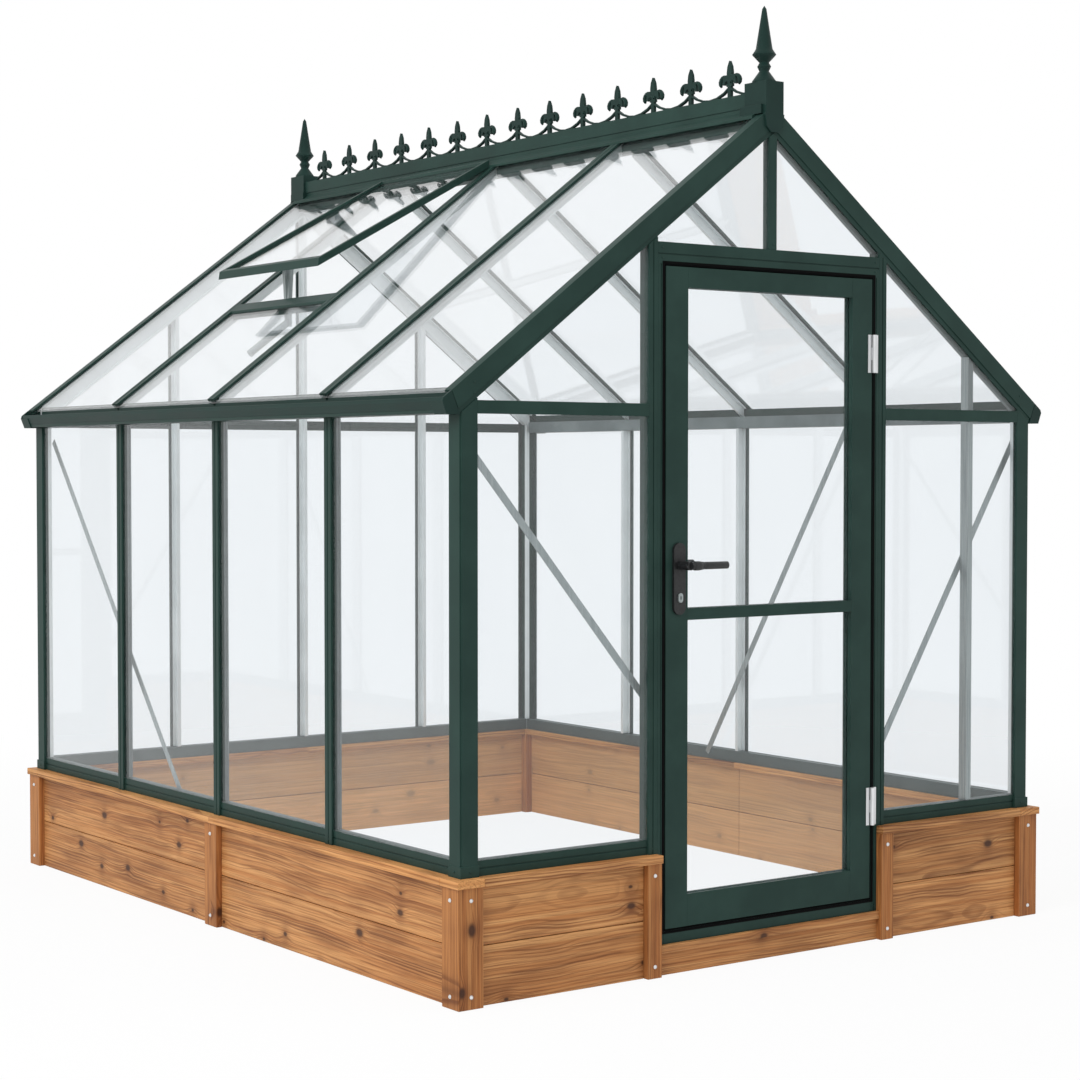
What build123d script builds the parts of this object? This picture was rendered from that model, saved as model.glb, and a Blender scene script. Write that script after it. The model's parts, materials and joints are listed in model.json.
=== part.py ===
from build123d import *
import math
import os

# Glass greenhouse: a green aluminium frame on a boarded wooden plinth, one file for each named piece.
# X runs across the greenhouse, the door faces -Y, Z is up and the origin lies on the ground.

# Driving dimensions in millimetres.

# Wooden plinth
plinth_width = 2000.0
plinth_length = 2490.0
board_height = 144.0
board_thickness = 28.0
board_gap = 2.0
board_recess = 18.0
corner_post_size = 72.0
batten_width = 70.0
door_batten_width = 45.0
cap_thickness = 20.0
cap_width = 74.0
cap_overhang = 6.0
cap_joint = 0.6
step_board_height = 58.0
step_recess = 8.0

# Aluminium frame
frame_setback = 20.0
frame_depth = 38.0
eave_height = 1412.0
post_face = 50.0
post_wall = 3.0
corner_notch = 4.0
shoe_height = 28.0
shoe_proud = 2.0
bay_count = 4
cap_face = 34.0
cap_depth = 6.0
groove_width = 3.0
groove_depth = 2.5
glass_thickness = 4.0
web_thickness = 4.0
shelf_width = 22.0
shelf_depth = 3.0
bead_width = 12.0
bead_depth = 5.0
sill_height = 38.0
crossbar_height = 32.0
glass_play = 1.0
gable_stud_width = 20.0
king_post_width = 26.0
brace_width = 20.0
brace_thickness = 3.0
brace_drop = 45.0

# Roof and gutters
roof_pitch = 37.0
rafter_depth = 58.0
rafter_flange = 32.0
rafter_web_inset = 14.0
rafter_lip_depth = 12.0
rafter_lip_recess = 3.0
glass_tuck = 8.0
roof_drip = 14.0
gutter_reach = 52.0
gutter_base_reach = 36.0
gutter_height = 38.0
gutter_wall = 4.0
gutter_cap_lip = 2.5
gutter_cap_length = 52.0
gutter_floor = 8.0
gutter_bevel_height = 10.0
gutter_bevel_width = 5.0
ridge_half_width = 22.0
ridge_above_apex = 39.0
ridge_below_apex = 58.0
ridge_lip_reach = 46.0
ridge_lip_height = 7.0
ridge_wall = 4.0

# Ridge ornaments
block_half_width = 30.0
block_length = 86.0
block_height = 85.0
block_proud = 6.0
saddle_half_width = 38.0
saddle_height = 24.0
saddle_extra = 10.0
shield_drop = 48.0
finial_height = 200.0
finial_radius = 31.5
crest_count = 14
crest_height = 100.0
crest_thickness = 9.0
crest_bar = 6.0
petal_runs = 4
curl_runs = 6
swag_runs = 6

# Roof vent
vent_overlap = 14.0
vent_frame_width = 16.0
vent_frame_depth = 20.0
vent_groove = 6.0
vent_open_angle = 8.3
vent_side_play = 4.0
trimmer_reach = 575.0
trimmer_width = 32.0
trimmer_depth = 30.0
opener_width = 26.0
opener_plate = 10.0
opener_arm = 12.0
opener_arm_spread = 18.0
opener_drop = 70.0
opener_tube_radius = 11.0
opener_tube_length = 170.0

# Door frame and door
door_post_outer = 411.0
door_post_width = 28.0
door_frame_width = 21.0
door_stop_width = 12.0
door_stop_depth = 8.0
door_clearance = 5.0
threshold_height = 33.0
door_head_height = 25.0
transom_height = 30.0
transom_gap = 12.0
leaf_thickness = 32.0
stile_width = 72.0
top_rail_height = 52.0
bottom_rail_height = 82.0
middle_rail_height = 30.0
middle_rail_rise = 796.0
glass_groove = 8.0

# Door furniture
hinge_height = 102.0
hinge_leaf_width = 18.0
hinge_leaf_thickness = 2.5
hinge_radius = 6.0
hinge_pin_radius = 3.0
hinge_play = 0.3
hinge_side_count = 20
hinge_low_inset = 250.0
hinge_high_inset = 200.0
handle_backset = 40.0
handle_rise = 921.0
plate_height = 182.0
plate_width = 38.0
plate_thickness = 8.0
plate_rise = 57.0
lock_drop = 82.0
lock_height = 24.0
lock_width = 14.0
lock_thickness = 4.0
lever_length = 118.0
lever_radius = 9.5
lever_reach = 44.0
spindle_radius = 5.0
spindle_play = 0.4
hub_radius = 11.0

# Shares of the size that each one follows
gable_stud_share = 0.653
left_foot_share = 0.47
right_foot_share = 0.24
right_head_share = 0.85
gable_foot_shares = (0.5, 0.33)
vent_bay_count = 2

# Outlines as shares of the ornament's own size, as (radius, height) or (across, up)
finial_shares = (
    (1.0, 0.0), (1.0, 0.02), (0.4, 0.15), (0.58, 0.21), (0.4, 0.26), (1.0, 0.363), (0.7, 0.435), (0.18, 0.955),
)
shield_shares = ((1.1, 0.0), (0.95, 0.7), (0.4, 1.0))
petal_shares = ((0, 0.36), (0.1, 0.64), (0, 1.0))
curl_outer_shares = ((0.03, 0.37), (0.2, 0.615), (0.262, 0.45))
curl_inner_shares = ((0.195, 0.4), (0.15, 0.465), (0.03, 0.37))
curl_ball_shares = (0.225, 0.42)
curl_ball_share = 0.052
collar_shares = (0.22, 0.075)
stem_share = 0.13
swag_share = 0.27

# Sizes that follow from the driving dimensions
half_width = plinth_width / 2 - frame_setback
half_length = plinth_length / 2 - frame_setback
plinth_top = 2 * board_height + board_gap + cap_thickness
board_top = plinth_top - cap_thickness
cap_outer = plinth_width / 2 + cap_overhang
cap_end = plinth_length / 2 + cap_overhang
cap_corner = corner_post_size + cap_overhang
board_courses = ((0, board_height), (board_height + board_gap, board_top))
sill_top = plinth_top + sill_height
glass_depth = cap_depth + glass_thickness
bay = 2 * half_length / bay_count
bar_places = [index * bay - half_length for index in range(1, bay_count)]
slope_cos = math.cos(math.radians(roof_pitch))
slope_sin = math.sin(math.radians(roof_pitch))
slope_tan = slope_sin / slope_cos
down_slope = Vector(-slope_cos, 0, -slope_sin)
apex = eave_height + rafter_depth / slope_cos + half_width * slope_tan
ridge_top = apex + ridge_above_apex
block_base = apex - block_half_width * slope_tan
block_front = half_length + block_proud
gutter_lean = (gutter_reach - gutter_base_reach) / gutter_height
gutter_rim = eave_height + gutter_height
step_top = step_board_height + cap_thickness
door_frame_outer = door_post_outer - door_post_width
doorway = door_frame_outer - door_frame_width
leaf_half_width = doorway - door_clearance
leaf_front = -half_length
leaf_back = leaf_front + leaf_thickness
leaf_middle = (leaf_front + leaf_back) / 2
stop_front = leaf_back + door_clearance
stop_back = stop_front + door_stop_depth
door_bottom = step_top + threshold_height + door_clearance
transom_top = apex - door_frame_outer * slope_tan - rafter_depth / slope_cos - transom_gap
transom_base = transom_top - transom_height
head_base = transom_base - door_head_height
door_top = head_base - door_clearance
middle_rail_level = door_bottom + middle_rail_rise
handle_x = handle_backset - leaf_half_width
handle_level = door_bottom + handle_rise
hinge_levels = (door_bottom + hinge_low_inset, door_top - hinge_high_inset)
hinge_x = leaf_half_width + door_clearance / 2
hinge_y = leaf_front - hinge_radius - hinge_leaf_thickness / 2
gable_stud_place = door_post_outer + gable_stud_share * (half_width - post_face - door_post_outer)
back_bar_place = half_width / 2
vent_span = (bar_places[vent_bay_count - 1], bar_places[vent_bay_count])
vent_middle = (vent_span[0] + vent_span[1]) / 2
vent_reach = trimmer_reach + vent_overlap


# Shapes used throughout
def block(x_span, y_span, z_span):
    """A box between two limits on each axis."""
    spans = (x_span, y_span, z_span)
    sizes = [abs(high - low) for low, high in spans]
    centre = [(low + high) / 2 for low, high in spans]
    return Pos(*centre) * Box(*sizes)


def span(centre, width):
    """Limits of a width laid evenly about a centre."""
    return (centre - width / 2, centre + width / 2)


def prism_along_x(points, x_span):
    """A polygon of (Y, Z) points drawn out along X."""
    face = Plane.YZ.offset(x_span[0]) * Polygon(*points, align=None)
    return extrude(face, amount=x_span[1] - x_span[0], dir=(1, 0, 0))


def prism_along_y(points, y_span):
    """A polygon of (X, Z) points drawn out along Y."""
    face = Plane.XZ.offset(-y_span[0]) * Polygon(*points, align=None)
    return extrude(face, amount=y_span[1] - y_span[0], dir=(0, 1, 0))


def join(pieces):
    """Fuse pieces into one."""
    whole = pieces[0]
    for piece in pieces[1:]:
        whole = whole + piece
    return whole


def profile(rectangles):
    """A section joined from rectangles, each given by its limits across and its limits in depth."""
    faces = []
    for across, depth in rectangles:
        centre = Pos(sum(across) / 2, sum(depth) / 2)
        faces.append(centre * Rectangle(across[1] - across[0], depth[1] - depth[0]))
    return join(faces)


def groove(centre):
    """The shallow line cut into the outer face of a section."""
    return profile([(span(centre, groove_width), (0, groove_depth))])


def upright(section, foot, inward, top):
    """Draw a section out upwards; its depth runs inwards from the wall's outer face."""
    plane = Plane(origin=foot, x_dir=Vector(inward).cross(Vector(0, 0, 1)), z_dir=(0, 0, 1))
    return extrude(plane * section, amount=top - foot[2], dir=(0, 0, 1))


def left_and_right(pieces):
    """The pieces and their twins across the middle."""
    return list(pieces) + mirrored(pieces)


def mirrored(pieces):
    """The same pieces for the right side."""
    return [mirror(piece, about=Plane.YZ) for piece in pieces]


def at_back(pieces):
    """The same pieces for the back gable."""
    return [mirror(piece, about=Plane.XZ) for piece in pieces]


def save(name, pieces):
    """Write one named piece, which may hold several solids."""
    solids = [solid for piece in pieces for solid in piece.solids()]
    export_step(Compound(solids), os.path.join("parts", name + ".step"))


# Roof shapes, drawn for the left slope
def skin(reach, depth=0):
    """Height of the roof at a distance from the middle, a depth below its outer skin."""
    return apex - reach * slope_tan - depth / slope_cos


def roof_strip(depths, y_span, reaches):
    """A strip of the left slope between two depths, with upright ends."""
    near, far = reaches
    points = [(-near, skin(near, depths[0])), (-far, skin(far, depths[0])),
              (-far, skin(far, depths[1])), (-near, skin(near, depths[1]))]
    return prism_along_y(points, y_span)


def roof_member(section, place, reaches):
    """Draw a section out down the left slope; its depth runs inwards from the roof's skin."""
    near, far = reaches
    plane = Plane(origin=(-near, place, skin(near)), x_dir=(0, 1, 0), z_dir=down_slope)
    return extrude(plane * section, amount=(far - near) / slope_cos, dir=down_slope)


def above_roof(depth):
    """All the space above both slopes at a depth, for trimming what meets the roof."""
    edge = plinth_width
    points = [(-edge, skin(edge, depth)), (0, apex - depth / slope_cos), (edge, skin(edge, depth)),
              (edge, 2 * apex), (-edge, 2 * apex)]
    return prism_along_y(points, (-plinth_length, plinth_length))


def bar_section():
    """The glazing bar: grooved outer cap, web, glass shelf and inner bead."""
    section = profile([(span(0, cap_face), (0, cap_depth)),
                       (span(0, web_thickness), (0, frame_depth)),
                       (span(0, shelf_width), (glass_depth, glass_depth + shelf_depth)),
                       (span(0, bead_width), (frame_depth - bead_depth, frame_depth))])
    return section - groove(0)


# Wooden plinth
def plinth_boards_side():
    """Two courses of boards on the left, in two lengths that meet behind the middle batten."""
    outer = plinth_width / 2 - board_recess
    end = plinth_length / 2 - corner_post_size
    lengths = ((-end, -board_gap / 2), (board_gap / 2, end))
    return [block((-outer, board_thickness - outer), length, course)
            for length in lengths for course in board_courses]


def plinth_boards_back():
    """Two courses of boards across the back."""
    outer = plinth_length / 2 - board_recess
    end = plinth_width / 2 - corner_post_size
    return [block((-end, end), (outer - board_thickness, outer), course) for course in board_courses]


def plinth_boards_front():
    """Two courses of boards on each side of the doorway."""
    outer = plinth_length / 2 - board_recess
    end = plinth_width / 2 - corner_post_size
    inner = door_frame_outer + door_batten_width
    return left_and_right([block((-end, -inner), (-outer, board_thickness - outer), course)
                           for course in board_courses])


def plinth_corner_posts():
    """A square post at each corner, proud of the boards."""
    x_outer = plinth_width / 2
    y_outer = plinth_length / 2
    post = block((-x_outer, corner_post_size - x_outer), (-y_outer, corner_post_size - y_outer),
                 (0, board_top))
    pair = left_and_right([post])
    return pair + at_back(pair)


def plinth_battens():
    """The upright cover battens on the long sides and the end posts at the doorway."""
    outer = plinth_width / 2
    front = plinth_length / 2
    middle = block((-outer, board_recess - outer), span(0, batten_width), (0, board_top))
    end = block((-door_frame_outer - door_batten_width, -door_frame_outer),
                (-front, board_recess + board_thickness - front), (0, board_top))
    return left_and_right([middle, end])


def side_caps():
    """The left cap rails in two lengths, with the square pieces on the corner posts."""
    edge = cap_corner - cap_end
    joint = -batten_width / 2
    level = (board_top, plinth_top)
    across = (-cap_outer, cap_width - cap_outer)
    square = block((-cap_outer, cap_corner - cap_outer), (-cap_end, edge), level)
    near = block(across, (edge + cap_joint, joint), level)
    far = block(across, (joint + cap_joint, -edge - cap_joint), level)
    return [square, near, far] + at_back([square])


def end_caps():
    """The cap rails of the two gables, butted against the corner pieces."""
    reach = cap_outer - cap_corner - cap_joint
    level = (board_top, plinth_top)
    across = (-cap_end, cap_width - cap_end)
    front = block((-reach, -door_frame_outer), across, level)
    back = at_back([block((-reach, reach), across, level)])
    return left_and_right([front]) + back


def door_step():
    """The board under the door with its tread."""
    front = plinth_length / 2
    across = (-door_frame_outer, door_frame_outer)
    board = block(across, (board_recess - front, board_recess + board_thickness - front),
                  (0, step_board_height))
    tread = block(across, (step_recess - front, cap_width - step_recess - front),
                  (step_board_height, step_top))
    return [board + tread]


# Walls and gables
def side_sill_body():
    """The left sill rail as a plain bar."""
    end = half_length - frame_depth
    return block((cap_depth - half_width, frame_depth - half_width), (-end, end), (plinth_top, sill_top))


def gable_sill_body(low, high):
    """A front sill rail as a plain bar between two places across."""
    return block((low, high), (cap_depth - half_length, frame_depth - half_length), (plinth_top, sill_top))


def sill_line(x_span, y_span):
    """The groove along the middle of a sill's outer face."""
    return block(x_span, y_span, span((plinth_top + sill_top) / 2, groove_width))


def side_sill():
    """The left sill rail between the corner posts, with a line along its face."""
    face = cap_depth - half_width
    return [side_sill_body() - sill_line((face, face + groove_depth), (-half_length, half_length))]


def gable_sill(low, high):
    """A front sill rail with a line along its face."""
    face = cap_depth - half_length
    return gable_sill_body(low, high) - sill_line((low, high), (face, face + groove_depth))


def front_sills():
    """The sill rails on both sides of the door."""
    return left_and_right([gable_sill(frame_depth - half_width, -door_post_outer)])


def back_sill():
    """The sill rail across the back."""
    return at_back([gable_sill(frame_depth - half_width, half_width - frame_depth)])


def corner_posts():
    """Angle posts on shoes, with a notched corner and a hollow core, cut off under the rafters."""
    section = profile([((corner_notch, post_face), (0, cap_depth)),
                       ((0, cap_depth), (corner_notch, post_face)),
                       ((cap_depth, frame_depth), (cap_depth, frame_depth))])
    hollow = (cap_depth + post_wall, frame_depth - post_wall)
    section = section - profile([(hollow, hollow)])
    reach = (-shoe_proud, post_face + shoe_proud)
    shoe = profile([(reach, (-shoe_proud, cap_depth)), ((-shoe_proud, cap_depth), reach)])
    foot = (-half_width, -half_length, plinth_top)
    post = upright(section, foot, (0, 1, 0), eave_height + post_face)
    post = post + upright(shoe, foot, (0, 1, 0), plinth_top + shoe_height)
    pair = left_and_right([post - above_roof(rafter_depth)])
    return pair + at_back(pair)


def side_bars():
    """Upright glazing bars of the left wall, their caps running down over the sill."""
    feet = [(-half_width, place, plinth_top) for place in bar_places]
    return [upright(bar_section(), foot, (1, 0, 0), eave_height) - side_sill_body() for foot in feet]


def back_bars():
    """Upright glazing bars of the back gable, cut off under the rafters."""
    sill = at_back([gable_sill_body(-half_width, half_width)])[0]
    return [upright(bar_section(), (place, half_length, plinth_top), (0, -1, 0), apex) - sill
            - above_roof(rafter_depth) for place in (-back_bar_place, 0, back_bar_place)]


def crossbar(low, high):
    """A gable crossbar at the eaves: outer cap and a fin between the panes."""
    middle = eave_height + crossbar_height / 2
    cap = block((low, high), (-half_length, cap_depth - half_length), span(middle, crossbar_height))
    fin_depths = (cap_depth - half_length, glass_depth - half_length)
    fin = block((low, high), fin_depths, span(middle, web_thickness))
    return cap + fin


def front_crossbars():
    """Crossbars at eave level on each side of the door."""
    return left_and_right([crossbar(post_face - half_width, -door_post_outer)])


def back_crossbars():
    """Crossbars at eave level between the back bars."""
    half = cap_face / 2
    outer = crossbar(post_face - half_width, -back_bar_place - half)
    inner = crossbar(half - back_bar_place, -half)
    return at_back(left_and_right([outer, inner]))


def front_stud():
    """The slim stud behind the glass on the right of the door, from sill to rafter."""
    stud = block(span(gable_stud_place, gable_stud_width),
                 (glass_depth - half_length, frame_depth - half_length), (sill_top, apex))
    return [stud - above_roof(rafter_depth)]


def king_post():
    """The short post over the door, pointed under the apex."""
    section = profile([(span(0, king_post_width), (0, cap_depth)),
                       (span(0, web_thickness), (0, frame_depth))])
    post = upright(section, (0, -half_length, transom_top), (0, 1, 0), apex)
    return [post - above_roof(rafter_depth)]


def flat_strip(start, end, width):
    """Corner points of a flat strip between two points of a plane."""
    run, rise = end[0] - start[0], end[1] - start[1]
    half = width / 2 / math.hypot(run, rise)
    aside = (-rise * half, run * half)
    ends = [(start, 1), (end, 1), (end, -1), (start, -1)]
    return [(point[0] + side * aside[0], point[1] + side * aside[1]) for point, side in ends]


def wall_braces():
    """Flat diagonal braces on the inner faces of the side walls and the front gable."""
    inner = half_width - frame_depth
    front = frame_depth - half_length
    foot = plinth_top + sill_height / 2
    head = eave_height - brace_drop
    left = flat_strip((half_length - post_face, head), (bay * left_foot_share, foot), brace_width)
    right = flat_strip((-bay * right_head_share, eave_height), (bay * right_foot_share, foot), brace_width)
    braces = [prism_along_x(left, (-inner, brace_thickness - inner)),
              prism_along_x(right, (inner - brace_thickness, inner))]
    for side, share in zip((-1, 1), gable_foot_shares):
        start = (side * (half_width - brace_width), head)
        end = (side * (door_post_outer - door_post_width / 2), eave_height * share)
        braces.append(prism_along_y(flat_strip(start, end, brace_width), (front, front + brace_thickness)))
    return braces


# Eaves, verges and ridge
def eave_body():
    """The left eave rail as a plain bar, with a fin at its outside that carries the roof glass."""
    inner = half_width - frame_depth
    fin = half_width - gutter_wall
    points = [(-inner, eave_height), (-inner, gutter_rim), (-fin, gutter_rim), (-fin, skin(fin, glass_depth)),
              (-half_width, skin(half_width, glass_depth)), (-half_width, eave_height)]
    end = half_length - post_face
    return prism_along_y(points, (-end, end))


def eave_rail():
    """The hollow left eave rail between the corner posts."""
    x_span = (gutter_wall - half_width, frame_depth - gutter_wall - half_width)
    hollow = block(x_span, (-half_length, half_length), (eave_height + gutter_wall, gutter_rim - gutter_wall))
    return [eave_body() - hollow]


def gutter_outside(rise):
    """Reach of the gutter's leaning face at a height above its base."""
    return half_width + gutter_base_reach + rise * gutter_lean


def gutter_floors():
    """The floor of the left gutter."""
    floor = eave_height + gutter_floor
    points = [(-half_width, eave_height), (-half_width, floor), (-gutter_outside(gutter_floor), floor),
              (-gutter_outside(0), eave_height)]
    end = half_length - cap_depth
    return [prism_along_y(points, (-end, end))]


def gutter_top():
    """The bevelled upper edge of the gutter's outside, from the bevel's foot to the rim."""
    return [(-gutter_outside(gutter_height - gutter_bevel_height), gutter_rim - gutter_bevel_height),
            (gutter_bevel_width - gutter_outside(gutter_height), gutter_rim)]


def gutter_faces():
    """The leaning face of the left gutter with a bevelled rim."""
    floor = eave_height + gutter_floor
    foot = gutter_outside(gutter_floor)
    bevel, rim = gutter_top()
    points = [(gutter_wall - foot, floor), (-foot, floor), bevel, rim, (rim[0] + gutter_wall, gutter_rim)]
    end = half_length - cap_depth
    return [prism_along_y(points, (-end, end))]


def gutter_end_line(play):
    """Two points on the leaning joint between the verge rafter and the gutter's end cap."""
    rise = 2 * rafter_depth
    return [(-half_width - play, eave_height), (-half_width - play - rise * gutter_lean, eave_height + rise)]


def gutter_end_caps():
    """Plates that close both ends of the gutters, each with a sleeve round the gutter's outside."""
    low, high = gutter_end_line(cap_joint)
    bevel, rim = gutter_top()
    foot = (-gutter_outside(0), eave_height)
    under = eave_height - gutter_cap_lip
    lip = [(low[0], under), (foot[0] - gutter_cap_lip, under), (bevel[0] - gutter_cap_lip, bevel[1])]
    plate = prism_along_y(lip + [rim, (rim[0], high[1]), high], (-half_length, cap_depth - half_length))
    sleeve = prism_along_y(lip + [bevel, foot, low], (-half_length, gutter_cap_length - half_length))
    pair = left_and_right([(plate + sleeve) - above_roof(0)])
    return pair + at_back(pair)


def rafter_section():
    """The verge rafter: face with a recessed lip, top flange, web, glass shelf and inner foot."""
    web = (rafter_web_inset, rafter_web_inset + web_thickness)
    return profile([((0, cap_depth), (0, rafter_depth - rafter_lip_depth)),
                    ((rafter_lip_recess, cap_depth), (0, rafter_depth)),
                    ((0, rafter_flange), (0, cap_depth)),
                    (web, (0, rafter_depth)),
                    ((rafter_web_inset, rafter_flange), (glass_depth, glass_depth + shelf_depth)),
                    ((glass_depth, frame_depth), (rafter_depth - bead_depth, rafter_depth))])


def verge_rafters():
    """Front verge rafters, meeting at the apex and trimmed at the gutters and under the end block."""
    reaches = (-rafter_depth, half_width + gutter_reach + rafter_depth)
    rafter = roof_member(rafter_section(), -half_length, reaches)
    past_middle = block((-cap_joint / 2, plinth_width), (-plinth_length, 0), (0, 2 * apex))
    low, high = gutter_end_line(0)
    past_gutter = prism_along_y([low, high, (-plinth_width, high[1]), (-plinth_width, 0), (low[0], 0)],
                                (-plinth_length, 0))
    for cut in (past_middle, past_gutter, gutter_floors()[0], ridge_end_body()):
        rafter = rafter - cut
    return left_and_right([rafter])


def roof_bars():
    """Glazing bars of the left slope between the ridge and the gutter."""
    ridge_space = block((-ridge_half_width, plinth_width), (-half_length, half_length), (0, 2 * apex))
    return [roof_member(bar_section(), place, (0, half_width + roof_drip)) - eave_body() - ridge_space
            for place in bar_places]


def ridge_beam():
    """The hollow ridge with a line along each face and a sloping lip over the glass."""
    base = apex - ridge_below_apex
    half = [(0, base), (ridge_half_width, base), (ridge_half_width, skin(ridge_half_width)),
            (ridge_lip_reach, skin(ridge_lip_reach)),
            (ridge_lip_reach, skin(ridge_lip_reach) + ridge_lip_height),
            (ridge_half_width, skin(ridge_half_width) + ridge_lip_height), (ridge_half_width, ridge_top),
            (0, ridge_top)]
    points = half + [(-x, z) for x, z in reversed(half[1:-1])]
    inner = ridge_half_width - ridge_wall
    ends = (rafter_flange - half_length, half_length - rafter_flange)
    beam = prism_along_y(points, ends)
    beam = beam - block((-inner, inner), ends, (base + ridge_wall, ridge_top - ridge_wall))
    line = block((-ridge_half_width, groove_depth - ridge_half_width), ends, span(apex, groove_width))
    body = ridge_end_body()
    for piece in left_and_right([line]) + [body] + at_back([body]):
        beam = beam - piece
    return [beam]


def ridge_end_body():
    """The square block and its wider saddle at the front end of the ridge."""
    upper = block((-block_half_width, block_half_width), (-block_front, block_length - block_front),
                  (block_base, block_base + block_height))
    saddle = block((-saddle_half_width, saddle_half_width),
                   (cap_depth - half_length, block_length + saddle_extra - block_front),
                   (block_base, block_base + saddle_height))
    return upper + saddle


def finial_spire():
    """The turned spire, standing on the origin."""
    outline = [(0, 0)]
    outline += [(radius * finial_radius, height * finial_height) for radius, height in finial_shares]
    outline.append((0, finial_height))
    return revolve(Plane.XZ * make_face(Polyline(*outline, close=True)), axis=Axis.Z)


def ridge_finials():
    """End blocks with a shield in front of the apex and a turned finial on top."""
    edge = [(across * block_half_width, block_base - down * shield_drop) for across, down in shield_shares]
    points = edge + [(-x, z) for x, z in reversed(edge)]
    shield = prism_along_y(points, (-block_front, -half_length))
    spire = Pos(0, block_length / 2 - block_front, block_base + block_height) * finial_spire()
    finial = join([ridge_end_body(), shield, spire])
    return [finial] + at_back([finial])


def scaled(shares):
    """Points of the cresting worked out from their shares of its height."""
    return [(across * crest_height, up * crest_height) for across, up in shares]


def arc_points(points, runs):
    """The arc through three points as a few straight runs, which keeps the casting's faces few."""
    arc = ThreePointArc(*points)
    places = [arc @ (step / runs) for step in range(runs + 1)]
    return [(place.X, place.Y) for place in places]


def fleur_sketch():
    """One fleur-de-lis: pointed petal, two curled petals, collar and stem."""
    edge = arc_points(scaled(petal_shares), petal_runs)
    petal = Polygon(*edge, *[(-x, y) for x, y in reversed(edge[1:-1])], align=None)
    outer = arc_points(scaled(curl_outer_shares), curl_runs)
    inner = arc_points(scaled(curl_inner_shares), curl_runs - 2)
    curl = Polygon(*reversed(outer + inner[:-1]), align=None)
    ball = Pos(*scaled([curl_ball_shares])[0]) * RegularPolygon(curl_ball_share * crest_height, curl_runs)
    root = edge[0][1]
    collar = Pos(0, root) * Rectangle(*scaled([collar_shares])[0])
    stem = Pos(0, root / 2) * Rectangle(stem_share * crest_height, root)
    side = curl + ball
    return join([petal, side, mirror(side, about=Plane.YZ), collar, stem])


def swag_sketch(pitch):
    """One hanging swag between two fleurs, lowest in the middle."""
    level = swag_share * crest_height
    lower = arc_points([(-pitch / 2, level), (0, 0), (pitch / 2, level)], swag_runs)
    return Polygon(*lower, *[(x, y + crest_bar) for x, y in reversed(lower)], align=None)


def ridge_cresting():
    """A row of fleurs-de-lis joined by hanging swags along the top of the ridge."""
    end = block_front - block_length - saddle_extra
    pitch = 2 * end / crest_count
    sketch = join([Pos((index + 0.5) * pitch - end, 0) * fleur_sketch() for index in range(crest_count)])
    swag = swag_sketch(pitch)
    sketch = join([sketch] + [Pos(index * pitch - end, 0) * swag for index in range(crest_count + 1)])
    sketch = sketch & (Pos(0, crest_height / 2) * Rectangle(2 * end, crest_height))
    face = Plane.YZ.offset(-crest_thickness / 2) * sketch
    return [Pos(0, 0, ridge_top) * extrude(face, amount=crest_thickness, dir=(1, 0, 0))]


# Door frame and door
def door_posts():
    """Grooved posts beside the doorway, standing on the plinth and cut off under the rafters."""
    section = profile([(span(0, door_post_width), (0, frame_depth))]) - groove(0)
    foot = (door_post_width / 2 - door_post_outer, -half_length, plinth_top)
    return left_and_right([upright(section, foot, (0, 1, 0), apex) - above_roof(rafter_depth)])


def door_frame_sides():
    """Grooved upright members of the door frame with a stop behind the leaf."""
    front, back = (stop_front - leaf_front, stop_back - leaf_front)
    stop = ((0, door_frame_width + door_stop_width), (front, back))
    section = profile([((0, door_frame_width), (0, back)), stop]) - groove(door_frame_width / 2)
    return left_and_right([upright(section, (-door_frame_outer, leaf_front, step_top), (0, 1, 0), head_base)])


def door_frame_head():
    """The head of the door frame with its stop, and the transom above it, parted by a groove."""
    across = (-door_frame_outer, door_frame_outer)
    head = block(across, (leaf_front, stop_back), (head_base, transom_base))
    stop_end = doorway - door_stop_width
    stop = block((-stop_end, stop_end), (stop_front, stop_back), (head_base - door_stop_width, head_base))
    transom = block(across, (leaf_front, leaf_front + frame_depth), (transom_base, transom_top))
    line = block(across, (leaf_front, leaf_front + groove_depth), span(transom_base, groove_width))
    return [join([head, stop, transom]) - line]


def door_threshold():
    """The metal threshold on the step."""
    return [block((-doorway, doorway), (leaf_front, stop_front), (step_top, step_top + threshold_height))]


def door_panes():
    """Both door panes, let into the grooves of the leaf."""
    across = span(0, 2 * (leaf_half_width - stile_width + glass_groove))
    depth = span(leaf_middle, glass_thickness)
    low = door_bottom + bottom_rail_height - glass_groove
    high = door_top - top_rail_height + glass_groove
    rail = span(middle_rail_level, middle_rail_height - 2 * glass_groove)
    return [block(across, depth, (low, rail[0])), block(across, depth, (rail[1], high))]


def spindle_bore():
    """The hole through plates and stile on the lever's axis."""
    bore = Cylinder(spindle_radius + spindle_play, 2 * (leaf_thickness + plate_thickness))
    return Pos(handle_x, leaf_middle, handle_level) * Rot(90, 0, 0) * bore


def door_stiles():
    """The upright members of the leaf, grooved for the glass and bored for the lever."""
    left = block((-leaf_half_width, stile_width - leaf_half_width), (leaf_front, leaf_back),
                 (door_bottom, door_top))
    stiles = left_and_right([left])
    for pane in door_panes():
        stiles = [stile - pane for stile in stiles]
    return [stiles[0] - spindle_bore(), stiles[1]]


def door_rails():
    """Top, middle and bottom rails of the leaf, grooved for the glass."""
    across = span(0, 2 * (leaf_half_width - stile_width))
    levels = [(door_bottom, door_bottom + bottom_rail_height), span(middle_rail_level, middle_rail_height),
              (door_top - top_rail_height, door_top)]
    rails = [block(across, (leaf_front, leaf_back), level) for level in levels]
    for pane in door_panes():
        rails = [rail - pane for rail in rails]
    return rails


def on_both_faces(outside):
    """A piece on the outside of the leaf and its twin on the inside."""
    return [outside, mirror(outside, about=Plane.XZ.offset(-leaf_middle))]


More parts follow.
